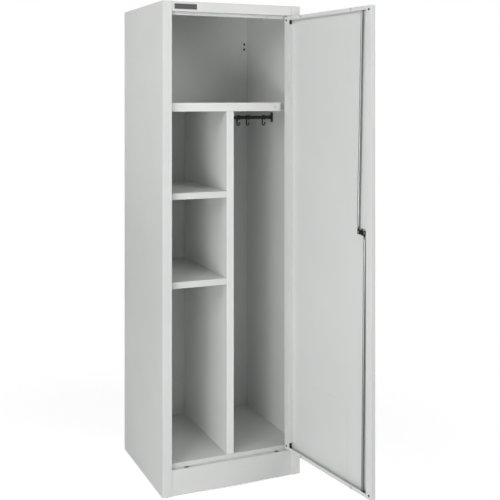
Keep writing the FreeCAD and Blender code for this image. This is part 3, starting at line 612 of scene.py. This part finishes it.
slider_outer = (6.4, 9.9)
slider_inner = (4.4, 7.9)
slider_outer_corner = 2.0
slider_inner_corner = 0.7
slider_outside = [
    (-0.6, -7.0), (0.0, -6.3), (0.0, -5.0), (-0.45, -4.4),
    (-0.45, 4.4), (0.0, 5.0), (0.0, 6.3), (-0.6, 7.0),
]
slider_inside = [(0.3, 7.0), (0.0, 6.6), (0.0, -6.6), (0.3, -7.0)]
hook_bend = 5.75
hook_root = rail_level - 8.7
hook_shank_level = rail_level - 17.0
hook_bend_level = rail_level - 28.75
hook_tip_level = rail_level - 22.5
hook_radius = 3.0
hook_thin = 2.55
hook_taper_steps = 5
hook_bend_steps = 14
hook_tip_run = 3.0
hook_ball_radius = 3.0
hook_ball_neck = -1.55
hook_ball_steps = 8
hook_round_steps = 18


def slider(x):
    """The closed ring around the rail, with its rims rounded and two finger ribs on its outside."""
    walls = [
        (slider_outer, slider_outer_corner, slider_outside),
        (slider_inner, slider_inner_corner, slider_inside),
        (slider_outer, slider_outer_corner, slider_outside[:1]),
    ]
    rings = []
    for (half_depth, half_height), corner, steps in walls:
        for grow, along in steps:
            outline = rounded_outline(half_depth + grow, half_height + grow, corner)
            rings.append([(x + along, u, rail_level + v) for u, v in outline])
    return skin_over(rings, False, False)


def j_shape(x):
    """The hook's J, a little thinner at the bend, with its ball."""
    line = [(-hook_bend, level, 0, -1, hook_radius) for level in (hook_root, hook_shank_level)]
    for i in range(hook_bend_steps + 1):
        turn = math.pi * i / hook_bend_steps
        thickness = hook_radius + (hook_thin - hook_radius) * min(1.0, i / hook_taper_steps)
        aside = -hook_bend * math.cos(turn)
        level = hook_bend_level - hook_bend * math.sin(turn)
        line.append((aside, level, math.sin(turn), -math.cos(turn), thickness))
    line.append((hook_bend, hook_tip_level - hook_tip_run, 0, 1, hook_thin))
    for i in range(hook_ball_steps + 1):
        share = math.sin(math.pi / 2 * i / hook_ball_steps)
        rise = hook_ball_neck + (hook_ball_radius - hook_ball_neck) * share
        thickness = math.sqrt(max(0.0, hook_ball_radius ** 2 - rise * rise))
        line.append((hook_bend, hook_tip_level + rise, 0, 1, thickness))
    rings = []
    for u, z, run_u, run_z, radius in line:
        ring = []
        for i in range(hook_round_steps):
            turn = 2 * math.pi * i / hook_round_steps
            aside = radius * math.cos(turn)
            ring.append((x + u - run_z * aside, radius * math.sin(turn), z + run_u * aside))
        rings.append(ring)
    return skin_over(rings, True, False)


for hook_name in ("left_hook", "middle_hook", "right_hook"):
    low, high = box_in_mm(hook_name)
    middle = (low.x + high.x) / 2
    form = together([slider(middle), j_shape(middle)])
    new_piece(hook_name + "_moulding", form, nylon, hook_name, "black_plastic", hook_name)

# Hinge bushes: flanged bushes moulded in natural nylon and pressed into the header and the ledge. The
# hinge pins turn in them.

bush_colour = (0.80, 0.79, 0.74, 1)
bush_flow_colour = (0.74, 0.73, 0.67, 1)
bush_roughness = 0.45
bush_flow_size = 0.004
bush_grain_size = 0.001
bush_grain_depth = 0.00005

bush_finish, tree, shader, place = new_finish("bush_finish", bush_colour, bush_roughness)
flow = spread(tree, grain(tree, place, bush_flow_size), noise_low, noise_high, 0.0, 1.0)
tree.links.new(tint(tree, flow, bush_colour, bush_flow_colour), shader.inputs["Base Color"])
relief(tree, shader, [(grain(tree, place, bush_grain_size), bush_grain_depth)])
dress(bush_finish, "top_hinge_bush", "bottom_hinge_bush")

# Door: one steel sheet, cut and folded on all four sides into a tray with lips, and powder-coated in
# one piece with its two stiffening sheets.

door_colour = (0.745, 0.765, 0.75, 1)

door_coat, tree, shader, place, layers = powder_coat("door_coat", door_colour, edge_colour, 0.36)
relief(tree, shader, layers)
dress(door_coat, "door_leaf", "door_upper_stiffener", "door_lower_stiffener")

# Caps and buffers on the door's lips: black nylon caps in the corner holes, and grey rubber buffers
# pulled into their holes by a barbed stem, which soften the door's stop.

lip_face = -230.0
cap_profile = [
    (0, -1), (3.45, -1), (3.45, 0), (4.4, 0), (4.4, 0.4),
    (4.1, 0.8), (3.5, 1.0), (2.5, 1.0), (2.0, 0.7), (0, 0.6),
]
buffer_places = [(x, z) for x in (-153.0, 153.0) for z in (116.0, 1899.0)]
buffer_profile = [
    (0, -4.0), (1.8, -4.0), (2.5, -3.2), (2.2, -2.4), (2.5, -1.6), (2.5, 0), (5.0, 0),
    (5.0, 2.2), (4.7, 3.0), (4.0, 3.45), (3.2, 3.5), (2.6, 3.3), (0, 3.15),
]
rubber_colour = (0.56, 0.57, 0.565, 1)
rubber_roughness = 0.8
rubber_bloom_colour = (0.62, 0.63, 0.62, 1)
rubber_bloom_size = 0.003
rubber_bloom_share = 0.6
rubber_grain_size = 0.0008
rubber_grain_depth = 0.0001
hinge = next(joint for joint in frame["joints"] if joint["name"] == "door_hinge")
hinge_line = Matrix.Translation(Vector((hinge["pos_m"][0], hinge["pos_m"][1], 0)) / millimetre)
door_turn = Matrix.Rotation(math.radians(-hinge["range_deg"][0]), 4, "Z")
door_swing = hinge_line @ door_turn @ hinge_line.inverted()

rubber, tree, shader, place = new_finish("rubber", rubber_colour, rubber_roughness)
bloom = spread(tree, grain(tree, place, rubber_bloom_size, 3.0), 0.4, 0.8, 0.0, rubber_bloom_share)
tree.links.new(tint(tree, bloom, rubber_colour, rubber_bloom_colour), shader.inputs["Base Color"])
relief(tree, shader, [(grain(tree, place, rubber_grain_size, 3.0), rubber_grain_depth)])


def swung(form):
    """A form drawn on the closed door, put where the open door has it."""
    points, faces = form
    return [door_swing @ Vector(point) for point in points], faces


def closed_middle(node):
    """The middle of one of the door's nodes, where the closed door has it."""
    low, high = box_in_mm(node)
    return door_swing.inverted() @ ((low + high) / 2)


bottom_corner = closed_middle("bottom_hinge_block")
top_corner = closed_middle("top_hinge_block")
caps = []
for side in (-1, 1):
    for corner in (bottom_corner, top_corner):
        centre = (side * corner.x, lip_face, corner.z)
        caps.append(turned(cap_profile, centre, (0, 1, 0), steps=28))
new_piece("lip_hole_caps", swung(together(caps)), nylon, "door", "black_plastic", "lip_caps")
buffers = []
for x, z in buffer_places:
    buffers.append(turned(buffer_profile, (x, lip_face, z), (0, 1, 0), steps=32))
new_piece("rubber_buffers", swung(together(buffers)), rubber, "door", "rubber", "door_buffers")

# Hinge blocks: black nylon blocks pushed into the door's corners, hollowed from the inside with ribs
# left standing. Each holds a zinc-plated steel pin.

block_half_width = 12.5
block_half_height = 14.0
block_corner = 1.4
block_outer_face = -249.0
block_inner_face = -231.0
block_rib_corner = 0.5
block_ribs = ((0.9, 11.6), (10.1, 0.9))
zinc_colour = (0.40, 0.41, 0.42, 1)
zinc_dark_colour = (0.32, 0.33, 0.33, 1)
zinc_roughness = 0.32
zinc_smoothest = 0.26
zinc_roughest = 0.40
spangle_size = 0.004
zinc_grain_size = 0.0006
zinc_grain_depth = 0.00003


def hinge_block(corner):
    """The block with its hollow, and a cross of ribs in it."""
    outer = block_outer_face
    inner = block_inner_face
    steps = [(0.5, outer), (0.0, outer + 0.5), (0.0, inner - 0.5), (0.5, inner)]
    steps += [(2.2, inner), (2.6, inner - 0.4), (2.8, inner - 3.0)]
    rib_steps = [(0.0, inner - 3.2), (0.0, inner - 0.7), (0.3, inner - 0.4)]

    def in_corner(u, v, depth):
        """A point in the door's corner: this far aside and above the block's middle, at this depth."""
        return corner.x + u, depth, corner.z + v

    forms = [stepped_plate(block_half_width, block_half_height, block_corner, steps, in_corner)]
    for half_width, half_height in block_ribs:
        forms.append(stepped_plate(half_width, half_height, block_rib_corner, rib_steps, in_corner))
    return swung(together(forms))


form = hinge_block(top_corner)
new_piece("top_hinge_housing", form, nylon, "door", "black_plastic", "top_hinge_block")
form = hinge_block(bottom_corner)
new_piece("bottom_hinge_housing", form, nylon, "door", "black_plastic", "bottom_hinge_block")

zinc, tree, shader, place = new_finish("zinc", zinc_colour, zinc_roughness, 1.0)
spangle = grain(tree, place, spangle_size, 3.0)
tree.links.new(tint(tree, spangle, zinc_colour, zinc_dark_colour), shader.inputs["Base Color"])
gloss = spread(tree, spangle, noise_low, noise_high, zinc_smoothest, zinc_roughest)
tree.links.new(gloss, shader.inputs["Roughness"])
relief(tree, shader, [(grain(tree, place, zinc_grain_size, 3.0), zinc_grain_depth)], fine_edge)
dress(zinc, "top_hinge_pin", "bottom_hinge_pin", "cam_screw", "cam_pins")

# Lock through the door: a nickel-plated rosette with a threaded barrel, clamped from the inside by a
# chamfered hexagon nut, and the key plug that turns inside the handle.

spindle = closed_middle("lock_nut")
rosette_profile = [
    (7.05, -245.3), (7.3, -245.0), (9.4, -245.0), (10.0, -245.6), (10.0, -246.2), (9.6, -246.5),
    (10.0, -246.9), (10.0, -247.3), (9.6, -247.7), (10.0, -248.1), (10.0, -248.5), (9.6, -248.9),
    (10.0, -249.3), (10.0, -250.0), (26.0, -250.0), (26.0, -253.6), (25.7, -254.7), (25.0, -255.4),
    (24.0, -255.75), (20.6, -255.75), (20.2, -255.35), (19.4, -255.3), (19.0, -255.8),
    (18.4, -256.0), (8.2, -256.0), (7.05, -255.2), (7.05, -245.3),
]
nut_flat = 13.5
nut_profile = [
    (13.9, -249.0), (20.0, -248.2), (20.0, -246.8), (13.9, -246.0), (10.65, -246.0),
    (10.05, -246.5), (10.05, -248.5), (10.65, -249.0), (13.9, -249.0),
]
nut_steps = 72
nickel_colour = (0.75, 0.75, 0.76, 1)
nickel_haze_colour = (0.68, 0.68, 0.68, 1)
nickel_roughness = 0.2
nickel_smoothest = 0.15
nickel_roughest = 0.28
haze_size = 0.008
nickel_grain_size = 0.0009
nickel_grain_depth = 0.00002

nickel, tree, shader, place = new_finish("nickel", nickel_colour, nickel_roughness, 1.0)
haze = grain(tree, place, haze_size, 3.0)
tree.links.new(tint(tree, haze, nickel_colour, nickel_haze_colour), shader.inputs["Base Color"])
gloss = spread(tree, haze, 0.3, 0.75, nickel_smoothest, nickel_roughest)
tree.links.new(gloss, shader.inputs["Roughness"])
relief(tree, shader, [(grain(tree, place, nickel_grain_size), nickel_grain_depth)], fine_edge)
dress(nickel, "key_plug")

rosette = turned(rosette_profile, (spindle.x, 0, spindle.z), (0, 1, 0), steps=72)
new_piece("threaded_rosette", swung(rosette), nickel, "door", "lock_chrome", "lock_rosette")


def nut_ring(limit, y):
    """The hexagon at y, cut back to this radius: a plain circle where that lies inside the flats."""
    ring = []
    for i in range(nut_steps):
        angle = 360 * i / nut_steps
        turn = math.radians(angle)
        from_flat = math.radians(angle % 60 - 30)
        radius = min(nut_flat / math.cos(from_flat), limit)
        ring.append((spindle.x + radius * math.cos(turn), y, spindle.z + radius * math.sin(turn)))
    return ring


rings = [nut_ring(limit, y) for limit, y in nut_profile]
new_piece("hexagon_nut", swung(skin_over(rings, False, False)), zinc, "door", "zinc_steel", "lock_nut")

# Wing handle: moulded in black nylon around a square steel core, with a round hub for the key plug and
# two wings that thin out towards their ends. It stands upright when the lock is open.

handle_profile = [
    (0, -262.0), (6.05, -262.0), (6.05, -282.8), (6.5, -283.25), (6.9, -283.25), (9.0, -282.6),
    (10.0, -280.5), (10.8, -276.5), (12.6, -272.6), (14.4, -269.6), (15.0, -266.5), (15.0, -257.0),
    (14.4, -256.3), (7.0, -256.3), (7.0, -245.0), (0, -245.0),
]
wing_sections = [
    (7.6, 9.3, -283.0, -268.6), (12.0, 8.9, -283.1, -269.6), (20.0, 8.0, -283.2, -270.4),
    (30.0, 7.6, -283.2, -270.8), (37.0, 7.8, -282.9, -271.1), (41.0, 7.2, -282.2, -271.8),
    (43.2, 5.4, -281.0, -273.0), (44.0, 2.9, -279.4, -274.6),
]
wing_roundness = 0.62
square_half = 4.0
square_corner = 0.4
square_steps = [(0.0, -245.2), (0.0, -244.5), (0.3, -244.25)]


def wing(side):
    """One wing, from the hub out along z."""
    rings = []
    for reach, half_width, face, rear in wing_sections:
        half_depth = (rear - face) / 2
        outline = rounded_outline(half_width, half_depth, min(half_width, half_depth) * wing_roundness)
        middle = (face + rear) / 2
        rings.append([(spindle.x + u, middle + v, spindle.z + side * reach) for u, v in outline])
    return skin_over(rings)


def on_spindle(u, v, depth):
    """A point this far aside and above the spindle's axis, at this depth."""
    return spindle.x + u, depth, spindle.z + v


hub = turned(handle_profile, on_spindle(0, 0, 0), (0, 1, 0), steps=64)
core = stepped_plate(square_half, square_half, square_corner, square_steps, on_spindle)
form = swung(together([hub, wing(-1), wing(1), core]))
new_piece("wing_handle", form, nylon, "handle_and_cam", "black_plastic", "turn_handle")

# Locking rods: drawn steel wire, hot-flattened and slotted at the cam's end, and coloured dark and
# rougher close to the cam. They slide in nylon guides in the door's flanges.

rod_colour = (0.36, 0.36, 0.365, 1)
rod_dark_colour = (0.28, 0.28, 0.285, 1)
rod_pale_colour = (0.44, 0.44, 0.445, 1)
near_cam_colour = (0.035, 0.034, 0.034, 1)
rod_roughness = 0.32
near_cam_roughness = 0.55
near_cam_reach = 0.008
near_cam_end = 0.020
rod_metal = 0.9
draw_line_size = 0.0008
draw_line_stretch = (1, 1, 40)
draw_line_depth = 0.00003

rod_steel, tree, shader, place = new_finish("rod_steel", rod_colour, rod_roughness, rod_metal)
draw_lines = grain(tree, place, draw_line_size, 3.0, draw_line_stretch)
drawn = tint(tree, draw_lines, rod_dark_colour, rod_pale_colour)
# The rods turn dark and rougher within a short reach of the cam's axis.
above_cam = sum_up(tree, "SUBTRACT", axes(tree, place)["Z"], spindle.z * millimetre)
from_cam = sum_up(tree, "ABSOLUTE", above_cam, 0.0)
near_cam_dark = spread(tree, from_cam, near_cam_reach, near_cam_end, 1.0, 0.0)
tree.links.new(tint(tree, near_cam_dark, drawn, near_cam_colour), shader.inputs["Base Color"])
gloss = spread(tree, near_cam_dark, 0.0, 1.0, rod_roughness, near_cam_roughness)
tree.links.new(gloss, shader.inputs["Roughness"])
relief(tree, shader, [(draw_lines, draw_line_depth)], fine_edge)
dress(rod_steel, "upper_rod", "lower_rod")
dress(nylon, "upper_rod_guide", "lower_rod_guide")
